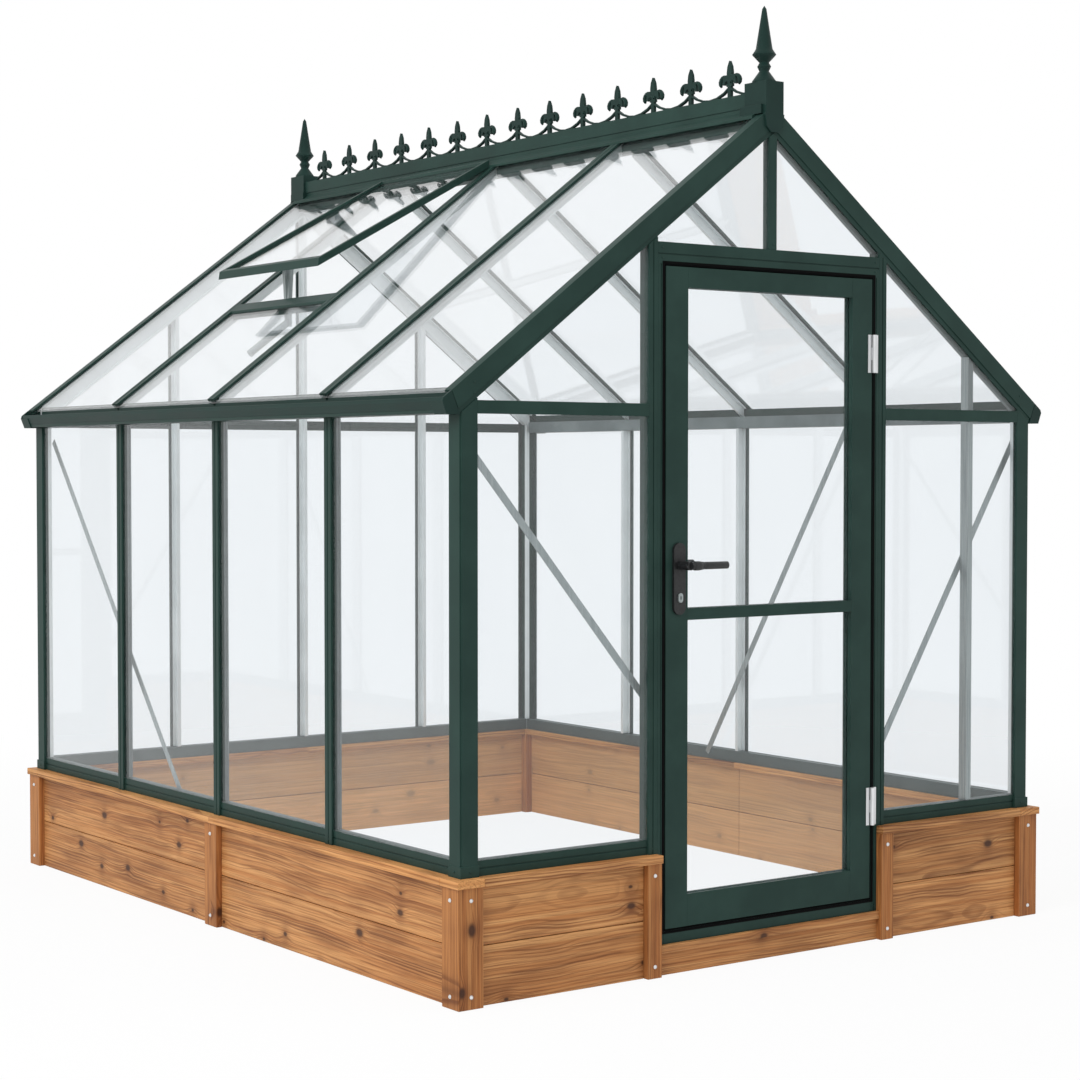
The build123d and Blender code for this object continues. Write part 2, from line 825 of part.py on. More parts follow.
def upright_slot(height, width, level, out, thickness):
    """A round-ended plate lying outside the leaf's face, a distance out from it."""
    plane = Plane.XZ.offset(-leaf_front + out)
    return extrude(plane * Pos(handle_x, level) * SlotOverall(height, width, rotation=90), amount=thickness,
                   dir=(0, -1, 0))


def handle_plates():
    """Round-ended plates behind the lever on both faces of the stile."""
    level = handle_level + plate_rise - plate_height / 2
    plate = upright_slot(plate_height, plate_width, level, 0, plate_thickness)
    return on_both_faces(plate - spindle_bore())


def lock_cylinders():
    """Oval lock faces on both plates."""
    return on_both_faces(upright_slot(lock_height, lock_width, handle_level - lock_drop, plate_thickness,
                                      lock_thickness))


def door_lever():
    """Round outer and inner levers on one spindle."""
    plate_face = leaf_thickness / 2 + plate_thickness
    axis_out = plate_face + lever_reach
    spindle = Cylinder(spindle_radius, 2 * axis_out)
    hub_length = lever_reach - spindle_play
    hub = Pos(0, 0, axis_out - hub_length / 2) * Cylinder(hub_radius, hub_length)
    grip = Pos(lever_length / 2, 0, axis_out) * Rot(0, 90, 0) * Cylinder(lever_radius, lever_length)
    half = hub + grip
    whole = join([spindle, half, mirror(half, about=Plane.XY)])
    return [Pos(handle_x, leaf_middle, handle_level) * Rot(90, 0, 0) * whole]


def knuckle(level, place, radius, play):
    """One third of a hinge's height on the pin's axis; place is -1, 0 or 1 from the bottom up."""
    third = hinge_height / 3
    barrel = extrude(RegularPolygon(radius, hinge_side_count), (third + play) / 2, both=True)
    return Pos(hinge_x, hinge_y, level + place * third) * barrel


def knuckle_room(level, place):
    """The square notch in a hinge leaf that clears the other half's knuckle."""
    third = hinge_height / 3
    return block(span(hinge_x, 2 * (hinge_radius + hinge_play)), span(leaf_front, 2 * hinge_radius),
                 span(level + place * third, third + hinge_play))


def hinge_frame_leaves():
    """Fixed hinge halves with the pins and the two end knuckles."""
    halves = []
    for level in hinge_levels:
        plate = block((hinge_x + hinge_play, hinge_x + hinge_leaf_width),
                      (leaf_front - hinge_leaf_thickness, leaf_front), span(level, hinge_height))
        plate = plate - knuckle_room(level, 0)
        pin = Pos(hinge_x, hinge_y, level) * Cylinder(hinge_pin_radius, hinge_height)
        ends = [knuckle(level, place, hinge_radius, -hinge_play) for place in (-1, 1)]
        halves.append(join([plate, pin] + ends))
    return halves


def hinge_door_leaves():
    """Moving hinge halves with the middle knuckle, bored for the pin."""
    halves = []
    for level in hinge_levels:
        plate = block((hinge_x - hinge_leaf_width, hinge_x - hinge_play),
                      (leaf_front - hinge_leaf_thickness, leaf_front), span(level, hinge_height))
        for place in (-1, 1):
            plate = plate - knuckle_room(level, place)
        pin_room = Pos(hinge_x, hinge_y, level) * Cylinder(hinge_pin_radius + hinge_play, hinge_height)
        halves.append(plate + knuckle(level, 0, hinge_radius, -hinge_play) - pin_room)
    return halves


# Roof vent
def tilt_vent(piece):
    """Swing a piece of the vent open about the edge of the ridge lip."""
    hinge = Axis((-ridge_lip_reach, 0, skin(ridge_lip_reach) + ridge_lip_height), (0, 1, 0))
    return piece.rotate(hinge, vent_open_angle)


def vent_panel(depths, inset):
    """A flat piece of the vent, lying on the roof and drawn in from its edges."""
    y_span = (vent_span[0] + vent_side_play + inset, vent_span[1] - vent_side_play - inset)
    step = inset * slope_cos
    return roof_strip(depths, y_span, (ridge_lip_reach + step, vent_reach - step))


def vent_pane():
    """The vent's glass, let into the groove of its frame."""
    middle = vent_frame_depth / 2
    depths = (-middle - glass_thickness / 2, glass_thickness / 2 - middle)
    return tilt_vent(vent_panel(depths, vent_frame_width - vent_groove))


def vent_frame():
    """The vent's slim frame, swung open."""
    outer = vent_panel((-vent_frame_depth, 0), 0)
    hole = vent_panel((-2 * vent_frame_depth, vent_frame_depth), vent_frame_width)
    return tilt_vent(outer - hole) - vent_pane()


def vent_trimmer():
    """The crossbar that closes the roof glass below the vent."""
    half = web_thickness / 2
    cap = roof_strip((0, cap_depth), (vent_span[0] + cap_face / 2, vent_span[1] - cap_face / 2),
                     (trimmer_reach, trimmer_reach + trimmer_width))
    rib = roof_strip((cap_depth, trimmer_depth), (vent_span[0] + half, vent_span[1] - half),
                     (trimmer_reach, trimmer_reach + trimmer_width / 2))
    for bar in roof_bars()[vent_bay_count - 1:]:
        rib = rib - bar
    return [cap + rib]


def vent_opener():
    """The opener: a plate on the trimmer, two arms up to the vent and a tube under the glass."""
    back = trimmer_reach - opener_plate
    middle = trimmer_reach - opener_plate / 2
    plate = block((-trimmer_reach, -back), span(vent_middle, opener_width),
                  (skin(middle, opener_drop), skin(middle)))
    foot = (-middle, skin(middle, trimmer_depth / 2))
    arms = []
    for side in (-1, 1):
        head = (-middle - side * opener_arm_spread / 2, skin(middle) + 2 * opener_drop)
        arms.append(prism_along_y(flat_strip(foot, head, opener_arm),
                                  span(vent_middle + side * opener_width / 4, opener_width / 2)))
    depth = opener_drop - opener_tube_radius
    start = Plane(origin=(-back, vent_middle, skin(back, depth)), x_dir=(0, 1, 0), z_dir=down_slope)
    tube = extrude(start * Circle(opener_tube_radius), amount=opener_tube_length, dir=down_slope)
    return [join([plate] + arms + [tube]) - vent_above() - vent_trimmer()[0]]


def vent_above():
    """The space from the vent's underside upwards, for trimming the opener's arms."""
    return tilt_vent(vent_panel((-plinth_width, 0), 0))


# Glass
def side_panes():
    """Panes of the left wall."""
    edges = [-half_length] + bar_places + [half_length]
    starts = [frame_depth] + [web_thickness / 2] * (bay_count - 1)
    depths = (cap_depth - half_width, glass_depth - half_width)
    panes = []
    for index, (low, high) in enumerate(zip(edges, edges[1:])):
        y_span = (low + starts[index] + glass_play, high - starts[bay_count - 1 - index] - glass_play)
        panes.append(block(depths, y_span, (sill_top, eave_height)))
    return panes


def gable_pane(low, high, base, top):
    """One pane of the front gable, trimmed behind the verge rafters."""
    pane = block((low, high), (cap_depth - half_length, glass_depth - half_length), (base, top))
    return pane - above_roof(rafter_depth - glass_tuck)


def gable_columns(columns):
    """Lower and upper panes for each column of a gable, parted by the crossbar."""
    fin = span(eave_height + crossbar_height / 2, web_thickness + 2 * glass_play)
    panes = []
    for low, high in columns:
        panes += [gable_pane(low, high, sill_top, fin[0]), gable_pane(low, high, fin[1], apex)]
    return panes


def front_gable_panes():
    """Panes beside and above the door."""
    outer = half_width - frame_depth - glass_play
    middle = web_thickness / 2 + glass_play
    over = gable_pane(-door_frame_outer, -middle, transom_top, apex)
    return left_and_right(gable_columns([(-outer, -door_post_outer - glass_play)]) + [over])


def back_gable_panes():
    """Panes of the back gable."""
    outer = half_width - frame_depth - glass_play
    inset = web_thickness / 2 + glass_play
    columns = [(-outer, -back_bar_place - inset), (inset - back_bar_place, -inset)]
    return at_back(left_and_right(gable_columns(columns)))


def roof_panes(with_vent):
    """Panes of the left slope; the bay under the vent has a short pane only."""
    verge = half_length - rafter_web_inset - web_thickness
    edges = [-verge] + bar_places + [verge]
    starts = [0] + [web_thickness / 2] * (bay_count - 1)
    panes = []
    for index, (low, high) in enumerate(zip(edges, edges[1:])):
        y_span = (low + starts[index] + glass_play, high - starts[bay_count - 1 - index] - glass_play)
        near = (ridge_half_width + ridge_lip_reach) / 2
        if with_vent and index == vent_bay_count:
            near = trimmer_reach + trimmer_width / 2
        panes.append(roof_strip((cap_depth, glass_depth), y_span, (near, half_width + roof_drip)))
    return panes


# Files
def save_plinth():
    """Write the wooden pieces."""
    save("left_plinth_boards", plinth_boards_side())
    save("right_plinth_boards", mirrored(plinth_boards_side()))
    save("back_plinth_boards", plinth_boards_back())
    save("front_plinth_boards", plinth_boards_front())
    save("plinth_corner_posts", plinth_corner_posts())
    save("plinth_battens", plinth_battens())
    save("side_cap_rails", left_and_right(side_caps()))
    save("end_cap_rails", end_caps())
    save("door_step", door_step())


def save_frame():
    """Write the frame of walls, gables and roof."""
    save("left_sill", side_sill())
    save("right_sill", mirrored(side_sill()))
    save("front_sills", front_sills())
    save("back_sill", back_sill())
    save("corner_posts", corner_posts())
    save("left_wall_bars", side_bars())
    save("right_wall_bars", mirrored(side_bars()))
    save("back_gable_bars", back_bars())
    save("front_crossbars", front_crossbars())
    save("back_crossbars", back_crossbars())
    save("front_gable_stud", front_stud())
    save("king_post", king_post())
    save("wall_braces", wall_braces())
    save("eave_rails", left_and_right(eave_rail()))
    save("gutter_floors", left_and_right(gutter_floors()))
    save("gutter_faces", left_and_right(gutter_faces()))
    save("gutter_end_caps", gutter_end_caps())
    save("front_verge_rafters", verge_rafters())
    save("back_verge_rafters", at_back(verge_rafters()))
    save("left_roof_bars", roof_bars())
    save("right_roof_bars", mirrored(roof_bars()))
    save("ridge_beam", ridge_beam())
    save("ridge_cresting", ridge_cresting())
    save("ridge_finials", ridge_finials())


def save_glass():
    """Write the fixed panes."""
    save("left_wall_glass", side_panes())
    save("right_wall_glass", mirrored(side_panes()))
    save("front_gable_glass", front_gable_panes())
    save("back_gable_glass", back_gable_panes())
    save("left_roof_glass", roof_panes(True))
    save("right_roof_glass", mirrored(roof_panes(False)))


def save_vent():
    """Write the roof vent."""
    save("vent_frame", [vent_frame()])
    save("vent_glass", [vent_pane()])
    save("vent_trimmer", vent_trimmer())
    save("vent_opener", vent_opener())


def save_door():
    """Write the door, its frame and its furniture."""
    save("door_posts", door_posts())
    save("door_frame_sides", door_frame_sides())
    save("door_frame_head", door_frame_head())
    save("door_threshold", door_threshold())
    save("door_stiles", door_stiles())
    save("door_rails", door_rails())
    save("door_glass", door_panes())
    save("handle_plates", handle_plates())
    save("lock_cylinders", lock_cylinders())
    save("door_lever", door_lever())
    save("hinge_frame_leaves", hinge_frame_leaves())
    save("hinge_door_leaves", hinge_door_leaves())


os.makedirs("parts", exist_ok=True)
save_plinth()
save_frame()
save_glass()
save_vent()
save_door()
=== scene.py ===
import json
import math

import bmesh
import bpy
from mathutils import Matrix, Vector
from mathutils.bvhtree import BVHTree


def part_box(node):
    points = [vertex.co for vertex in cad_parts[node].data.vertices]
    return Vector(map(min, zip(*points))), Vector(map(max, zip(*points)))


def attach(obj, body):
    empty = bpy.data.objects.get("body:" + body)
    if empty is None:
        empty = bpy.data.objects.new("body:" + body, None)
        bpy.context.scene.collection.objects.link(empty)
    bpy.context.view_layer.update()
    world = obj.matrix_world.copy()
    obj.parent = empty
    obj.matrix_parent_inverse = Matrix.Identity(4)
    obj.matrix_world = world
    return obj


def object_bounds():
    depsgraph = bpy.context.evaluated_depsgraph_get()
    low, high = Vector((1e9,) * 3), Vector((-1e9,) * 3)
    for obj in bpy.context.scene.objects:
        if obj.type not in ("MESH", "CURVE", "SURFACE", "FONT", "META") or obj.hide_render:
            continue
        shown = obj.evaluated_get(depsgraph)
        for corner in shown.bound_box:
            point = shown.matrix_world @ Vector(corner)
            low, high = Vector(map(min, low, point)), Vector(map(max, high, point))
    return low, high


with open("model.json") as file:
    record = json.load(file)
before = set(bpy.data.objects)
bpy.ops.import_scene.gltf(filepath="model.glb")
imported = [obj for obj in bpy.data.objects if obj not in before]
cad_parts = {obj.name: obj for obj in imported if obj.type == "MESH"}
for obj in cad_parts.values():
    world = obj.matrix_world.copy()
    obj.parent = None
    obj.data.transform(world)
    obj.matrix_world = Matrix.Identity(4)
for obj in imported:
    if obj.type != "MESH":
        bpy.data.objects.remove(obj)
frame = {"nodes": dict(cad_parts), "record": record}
cad_low, cad_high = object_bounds()

# Looks for the glass greenhouse: painted frame, cedar plinth, glass, small fasteners, and black pieces of
# painted shadow round the door and in the key slots.
# Lengths are in metres in the frame of the solids; colours are linear.

# Camera, at the photo's viewing place
camera_place = Vector((-3.963, -5.652, 1.287))
camera_yaw = math.radians(35.985)
camera_pitch = math.radians(1.86)
camera_lens = 75.55
camera_sensor = 36.0

# Light and floor
world_strength = 0.62
key_power = 310.0
key_size = 4.0
key_place = Vector((-5.5, -2.4, 5.5))
fill_power = 30.0
fill_size = 4.0
fill_place = Vector((4.5, -5.0, 3.0))
floor_size = 60.0
floor_level = -0.0005
floor_near = 1.8
floor_far = 4.5
floor_near_share = 0.92

# Sizes of the solids that the looks follow
roof_pitch = math.radians(37)
glass_depth = 0.010
bare_depth = 0.026
far_bare_depth = 0.010
bar_depth = 0.038
course_height = 0.146
lever_radius = 0.0095
handle_reach = 0.036

# Rounded edges
metal_bevel = 0.0009
wood_bevel = 0.0016
ornament_bevel = 0.0016
finial_bevel = 0.0035
weld_distance = 0.00002
bevel_segments = 2
bevel_angle = math.radians(35)
flat_angle = math.radians(0.4)

# Small turned pieces; the shares are (radius, height) outlines
bolt_radius = 0.0052
bolt_height = 0.0041
bolt_shares = ((1.0, 0.0), (1.0, 0.27), (0.85, 0.32), (0.79, 0.63), (0.5, 0.93), (0.0, 1.0))
screw_radius = 0.0030
screw_height = 0.0017
screw_shares = ((1.0, 0.0), (1.0, 0.35), (0.73, 0.76), (0.0, 1.0))
neck_radius = 0.0118
neck_length = 0.034
neck_shares = ((0.8, 0.0), (0.96, 0.06), (1.0, 0.14), (1.0, 0.5), (0.82, 1.0), (0.0, 1.0))
turned_steps = 20
bolt_inset = 0.030
screw_inset = 0.014
screw_pair = 0.026
seat_reach = 0.05

# Curled side petals of the fleurs on the ridge, as shares of the cresting's height
crest_count = 14
curl_middle_shares = (0.235, 0.445)
curl_reach_share = 0.155
curl_start = math.radians(205)
curl_end = math.radians(-40)
curl_tube_shares = (0.026, 0.034, 0.040, 0.045, 0.048, 0.051, 0.054, 0.058, 0.062, 0.056, 0.030)
curl_steps = 10

# Black strips of painted shadow round the door leaf, and the key slot's painted shade
gap_shadow_thickness = 0.003
gap_shadow_front = 0.0005
gap_shadow_bevel = 0.0006
lip_width = 0.007
lip_proud = 0.0008
hinge_apart = 0.3
slot_width = 0.0022
slot_height = 0.0085
slot_proud = 0.0004

# Ranges that many patterns share
whole = (0.0, 1.0)
falling = (1.0, 0.0)
noise_detail = 3.0
noise_roughness = 0.55

# Painted metal; limits are the values of a pattern between which it takes effect
cloud_size = 0.14
coat_grain = 0.0011
coat_detail = 2.0
coat_relief = 0.0004
coat_bump = 0.06
coat_tone_limits = (0.3, 0.75)
coat_rough_limits = (0.25, 0.8)
coat_roughness = (0.38, 0.5)
coat_shine = 0.14
bare_metallic = 0.4

# Drawn metal
streak_width = 0.0028
streak_length = 0.17
streak_relief = 0.0003
streak_bump = 0.05
streak_limits = (0.3, 0.7)
streak_rough_shares = (1.15, 0.85)
mill_metallic = 0.6
mill_roughness = 0.36
lock_roughness = 0.34
zinc_metallic = 0.85
zinc_roughness = 0.34

# Black coat, and the black of painted shadow
mottle_size = 0.0038
mottle_detail = 4.0
mottle_bump = 0.08
mottle_tone_limits = (0.35, 0.75)
mottle_rough_limits = (0.3, 0.7)
mottle_rough_shares = (0.9, 1.1)
black_roughness = 0.38
black_shine = 0.4
shadow_black_roughness = 0.7
shadow_black_shine = 0.04

# Glass
smear_size = 0.40
smear_detail = 4.0
film_limits = (0.3, 0.75)
film_shares = (0.006, 0.02)
facing_blend = 0.5
mirror_power = 5.0
mirror_rise_share = 0.9
mirror_least_share = 0.035
gloss_roughness = 0.02

# Growth rings of the wood
ring_spacing = 0.0086
ring_depth_share = 0.35
ring_group = 0.016
ring_shift = 0.020
ring_detail = 2.0
late_rise_limits = (0.40, 0.90)
late_fall_limits = (0.93, 1.0)
faint_limits = (0.35, 0.62)
faint_shares = (0.1, 1.0)
board_shift = 9.0
pith_spread = 0.30
pith_drift = 0.08
pith_depth = 0.05
pith_wave = 1.5
pith_detail = 1.0
wander_reach = 0.0075
wander_length = 0.34
wander_height = 0.06
flame_length = 0.20
flame_height = 0.60
flame_reach = 0.07
flame_detail = 1.0

# Knots of the wood
knot_spacing = 0.19
knot_row = 0.118
knot_small = 0.0045
knot_large = 0.0115
knot_chance = 0.50
halo_radius = 0.021
halo_push = 0.013
stain_shares = (9.0, 4.2, 0.0)
stain_dark_share = 0.55
core_limits = (0.5, 1.3)
core_dark_share = 0.92

# Fibres, patches, stripes and tones of the wood
fibre_length = 0.26
fibre_width = 0.0036
fibre_detail = 5.0
fibre_noise_roughness = 0.65
fibre_limits = (0.44, 0.70)
fibre_shares = (0.0, 0.70)
patch_length = 0.33
patch_height = 0.055
patch_limits = (0.42, 0.70)
patch_shares = (0.0, 0.42)
band_limits = (0.32, 0.66)
band_shares = (0.3, 1.0)
band_dark_share = 0.95
band_relief_share = 0.5
stripe_length = 0.90
stripe_height = 0.011
stripe_detail = 2.0
stripe_limits = (0.3, 0.7)
# Painted light on the plinth's faces towards the room: the depths over which it sets in, and its share
inner_light_depths = (0.020, 0.024)
inner_light_share = 0.40
board_tone_shares = (0.91, 1.09)
plain_shares = (1.0, 1.0, 1.0)
post_shares = (0.78, 0.67, 0.57)
cap_shares = (1.14, 1.14, 1.10)
wood_relief = 0.0006
wood_bump = 0.22
wood_rough_limits = (0.3, 0.8)
wood_roughness = (0.5, 0.66)
wood_shine = 0.3

# Sets of boards: their solids, then the directions along, up and through the boards, the directions in which
# boards change, the seed of the grain, and how the set differs from plain boards with knots
board_sets = {
    "cedar_side_boards": (
        ("left_plinth_boards", "right_plinth_boards"), "y", "z", "x", "xz", 1.3, {"inside": inner_light_share}),
    "cedar_front_boards": (
        ("front_plinth_boards",), "x", "z", "y", "xyz", 4.7, {"inside": inner_light_share}),
    "cedar_back_boards": (
        ("back_plinth_boards",), "x", "z", "y", "yz", 8.1, {"inside": inner_light_share}),
    "cedar_step": (
        ("door_step",), "x", "z", "y", "yz", 5.2, {}),
    "cedar_posts": (
        ("plinth_corner_posts", "plinth_battens"), "z", "x", "y", "xy", 2.9, {"shades": post_shares}),
    "cedar_side_caps": (
        ("side_cap_rails",), "y", "z", "x", "xy", 6.4, {"shades": cap_shares, "knotty": False}),
    "cedar_end_caps": (
        ("end_cap_rails",), "x", "z", "y", "xy", 3.6, {"knotty": False}),
}

# Colours; tones are pairs, dark and pale
green_tones = ((0.0150, 0.0390, 0.0320, 1.0), (0.0220, 0.0520, 0.0430, 1.0))
# Darker copy of the green coat: painted shade on the gutters and the ornaments on the ridge
shaded_green_tones = ((0.0090, 0.0270, 0.0225, 1.0), (0.0140, 0.0370, 0.0310, 1.0))
# Bare metal inside the panes, in copies for where it lies: grey is painted shade on near faces, silver is
# painted light on far faces and corners, slate is painted shade on the sills
shaded_grey_tones = ((0.13, 0.16, 0.16, 1.0), (0.22, 0.26, 0.26, 1.0))
lit_silver_tones = ((0.70, 0.74, 0.74, 1.0), (0.82, 0.86, 0.86, 1.0))
shaded_slate_tones = ((0.075, 0.100, 0.098, 1.0), (0.105, 0.135, 0.132, 1.0))
mill_tones = ((0.24, 0.275, 0.275, 1.0), (0.36, 0.40, 0.40, 1.0))
steel_tones = ((0.62, 0.63, 0.64, 1.0), (0.86, 0.87, 0.88, 1.0))
black_tones = ((0.0075, 0.0080, 0.0085, 1.0), (0.022, 0.023, 0.024, 1.0))
# Black of painted shadow, for the door's gap and the key slots
shadow_black_tones = ((0.0020, 0.0021, 0.0022, 1.0), (0.0050, 0.0052, 0.0054, 1.0))
wood_pale = (0.66, 0.340, 0.130, 1.0)
wood_middle = (0.49, 0.207, 0.066, 1.0)
wood_dark = (0.165, 0.055, 0.017, 1.0)
wood_knot = (0.055, 0.021, 0.010, 1.0)
# Pale wood of painted light, for the plinth's faces towards the room
wood_painted_light = (0.98, 0.57, 0.25, 1.0)
glass_tint = (0.961, 0.972, 0.980, 1.0)
veil = (0.90, 0.95, 0.97, 1.0)
floor_white = (0.9, 0.9, 0.9, 1.0)
white = (1.0, 1.0, 1.0, 1.0)

# Places worked out from the solids
half_width = -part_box("left_wall_bars")[0].x
half_length = -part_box("front_crossbars")[0].y
roof_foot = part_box("right_roof_glass")
slope_tan = math.tan(roof_pitch)
slope_cos = math.cos(roof_pitch)
apex = roof_foot[0].z + roof_foot[1].x * slope_tan + glass_depth / slope_cos
plinth_edge = dict(zip("xyz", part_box("plinth_corner_posts")[1]))


# Node trees
class Tree:
    """The node tree of a material or a world, with short ways to add nodes and sums."""

    def __init__(self, owner):
        self.owner = owner
        owner.use_nodes = True
        self.nodes = owner.node_tree.nodes
        self.links = owner.node_tree.links
        self.nodes.clear()

    def add(self, kind, inputs=None, **settings):
        """One node; inputs takes sockets or plain values by name or number."""
        made = self.nodes.new(kind)
        for name, value in settings.items():
            setattr(made, name, value)
        for name, value in (inputs or {}).items():
            if isinstance(value, bpy.types.NodeSocket):
                self.links.new(value, made.inputs[name])
            else:
                made.inputs[name].default_value = value
        return made

    def sum(self, operation, *values):
        """A math node's result."""
        return self.add("ShaderNodeMath", dict(enumerate(values)), operation=operation).outputs[0]

    def times(self, first, second):
        """A product."""
        return self.sum("MULTIPLY", first, second)

    def vector(self, x, y, z):
        """Three numbers as a vector."""
        return self.add("ShaderNodeCombineXYZ", {0: x, 1: y, 2: z}).outputs[0]

    def vectors(self, operation, *values):
        """A vector math node's result."""
        return self.add("ShaderNodeVectorMath", dict(enumerate(values)), operation=operation).outputs[0]

    def length(self, vector):
        """The length of a vector."""
        return self.add("ShaderNodeVectorMath", {0: vector}, operation="LENGTH").outputs["Value"]

    def parts(self, colour):
        """The three channels of a colour."""
        return self.add("ShaderNodeSeparateColor", {0: colour}).outputs

    def place(self):
        """The X, Y and Z of a point in the frame of the solids."""
        coordinates = self.add("ShaderNodeTexCoord").outputs["Object"]
        return self.add("ShaderNodeSeparateXYZ", {0: coordinates}).outputs

    def noise(self, place, size=1.0, detail=noise_detail, roughness=noise_roughness):
        """A noise texture's value and colour; size is the length of one wave."""
        inputs = {"Vector": place, "Scale": 1 / size, "Detail": detail, "Roughness": roughness}
        made = self.add("ShaderNodeTexNoise", inputs)
        return made.outputs[0], made.outputs[1]

    def stretched(self, length, height, seed, run, rise, detail=noise_detail):
        """A noise value with its own wave lengths along and across a board."""
        spot = self.vector(self.sum("DIVIDE", length, run), self.sum("DIVIDE", height, rise), seed)
        return self.noise(spot, detail=detail)[0]

    def bell(self, away):
        """One at zero, falling off smoothly."""
        return self.sum("EXPONENT", self.times(self.sum("POWER", away, 2.0), -1.0))

    def ease(self, value, limits=whole, results=whole):
        """A smooth step: the first result up to the lower limit, the second from the upper one."""
        inputs = {"Value": value, "From Min": limits[0], "From Max": limits[1],
                  "To Min": results[0], "To Max": results[1]}
        return self.add("ShaderNodeMapRange", inputs, interpolation_type="SMOOTHSTEP").outputs[0]

    def mix(self, share, first, second):
        """A mix of two colours."""
        return self.add("ShaderNodeMix", {0: share, 6: first, 7: second}, data_type="RGBA").outputs[2]

    def bump(self, height, strength, distance):
        """A surface relief."""
        inputs = {"Height": height, "Strength": strength, "Distance": distance}
        return self.add("ShaderNodeBump", inputs).outputs[0]

    def surface(self, **inputs):
        """A plain surface shader; underscores in the names stand for spaces."""
        named = {name.replace("_", " "): value for name, value in inputs.items()}
        return self.finish(self.add("ShaderNodeBsdfPrincipled", named))

    def finish(self, shader):
        """Put a shader on the surface and hand back the material."""
        self.add("ShaderNodeOutputMaterial", {"Surface": shader.outputs[0]})
        return self.owner


def new_tree(name):
    """The empty node tree of a new material."""
    return Tree(bpy.data.materials.new(name))


def seen_share(tree):
    """One for rays from the eye, from mirrors and through glass, zero for rays that only light."""
    path = tree.add("ShaderNodeLightPath").outputs
    seen = tree.sum("MAXIMUM", path["Is Camera Ray"], path["Is Glossy Ray"])
    return tree.sum("MAXIMUM", seen, path["Is Transmission Ray"])


# Materials
def bare_share(tree, x, y, z, start):
    """One where a point lies further inside the panes than the start, zero near and outside them."""
    side = tree.sum("SUBTRACT", half_width, tree.sum("ABSOLUTE", x))
    end = tree.sum("SUBTRACT", half_length, tree.sum("ABSOLUTE", y))
    fall = tree.times(tree.sum("ABSOLUTE", x), slope_tan)
    roof = tree.sum("SUBTRACT", tree.sum("SUBTRACT", apex, z), fall)
    depth = tree.sum("MINIMUM", tree.sum("MINIMUM", side, end), tree.times(roof, slope_cos))
    return tree.ease(depth, (start - metal_bevel, start + metal_bevel))


def paint(name, bare_tones=None, start=bare_depth, coat_tones=green_tones):
    """Green powder coat with a fine texture; faces inside the panes may show bare metal in tones that carry
    painted light and shade.
    """
    tree = new_tree(name)
    x, y, z = tree.place()
    point = tree.vector(x, y, z)
    cloud = tree.noise(point, cloud_size)[0]
    grain = tree.noise(point, coat_grain, coat_detail)[0]
    tone = tree.ease(cloud, coat_tone_limits)
    colour = tree.mix(tone, *coat_tones)
    metal = 0.0
    if bare_tones:
        bare = bare_share(tree, x, y, z, start)
        colour = tree.mix(bare, colour, tree.mix(tone, *bare_tones))
        metal = tree.times(bare, bare_metallic)
    return tree.surface(Base_Color=colour, Roughness=tree.ease(cloud, coat_rough_limits, coat_roughness),
                        Metallic=metal, Specular_IOR_Level=coat_shine,
                        Normal=tree.bump(grain, coat_bump, coat_relief))


def drawn_metal(name, tones, metallic, roughness):
    """Drawn metal with faint streaks."""
    tree = new_tree(name)
    x, y, z = tree.place()
    stretched = tree.vector(tree.sum("DIVIDE", x, streak_width), tree.sum("DIVIDE", y, streak_width),
                            tree.sum("DIVIDE", z, streak_length))
    streaks = tree.noise(stretched)[0]
    colour = tree.mix(tree.ease(streaks, streak_limits), *tones)
    rough = tree.ease(streaks, streak_limits, [roughness * share for share in streak_rough_shares])
    return tree.surface(Base_Color=colour, Roughness=rough, Metallic=metallic,
                        Normal=tree.bump(streaks, streak_bump, streak_relief))


def zinc(name):
    """Bright zinc of the hinges and bolts."""
    return drawn_metal(name, steel_tones, zinc_metallic, zinc_roughness)


def coating(name, tones, roughness, shine):
    """Black coat, or the black of painted shadow, with a fine mottle."""
    tree = new_tree(name)
    mottle = tree.noise(tree.vector(*tree.place()), mottle_size, mottle_detail)[0]
    colour = tree.mix(tree.ease(mottle, mottle_tone_limits), *tones)
    rough = tree.ease(mottle, mottle_rough_limits, [roughness * share for share in mottle_rough_shares])
    return tree.surface(Base_Color=colour, Roughness=rough, Specular_IOR_Level=shine,
                        Normal=tree.bump(mottle, mottle_bump, coat_relief))


def black_coat(name):
    """Black coat of the handle."""
    return coating(name, black_tones, black_roughness, black_shine)


def glass(name):
    """Clear horticultural glass: see-through, mirror-like at low angles, with a faint uneven film."""
    tree = new_tree(name)
    smear = tree.noise(tree.vector(*tree.place()), smear_size, smear_detail)[0]
    facing = tree.add("ShaderNodeLayerWeight", {"Blend": facing_blend}).outputs["Facing"]
    rise = tree.times(tree.sum("POWER", facing, mirror_power), mirror_rise_share)
    mirror = tree.sum("ADD", rise, mirror_least_share)
    clear = tree.add("ShaderNodeBsdfTransparent", {"Color": glass_tint}).outputs[0]
    film = tree.add("ShaderNodeBsdfDiffuse", {"Color": veil}).outputs[0]
    gloss = tree.add("ShaderNodeBsdfGlossy", {"Color": white, "Roughness": gloss_roughness}).outputs[0]
    dust = tree.ease(smear, film_limits, film_shares)
    dusty = tree.add("ShaderNodeMixShader", {0: dust, 1: clear, 2: film})
    return tree.finish(tree.add("ShaderNodeMixShader", {0: mirror, 1: dusty.outputs[0], 2: gloss}))


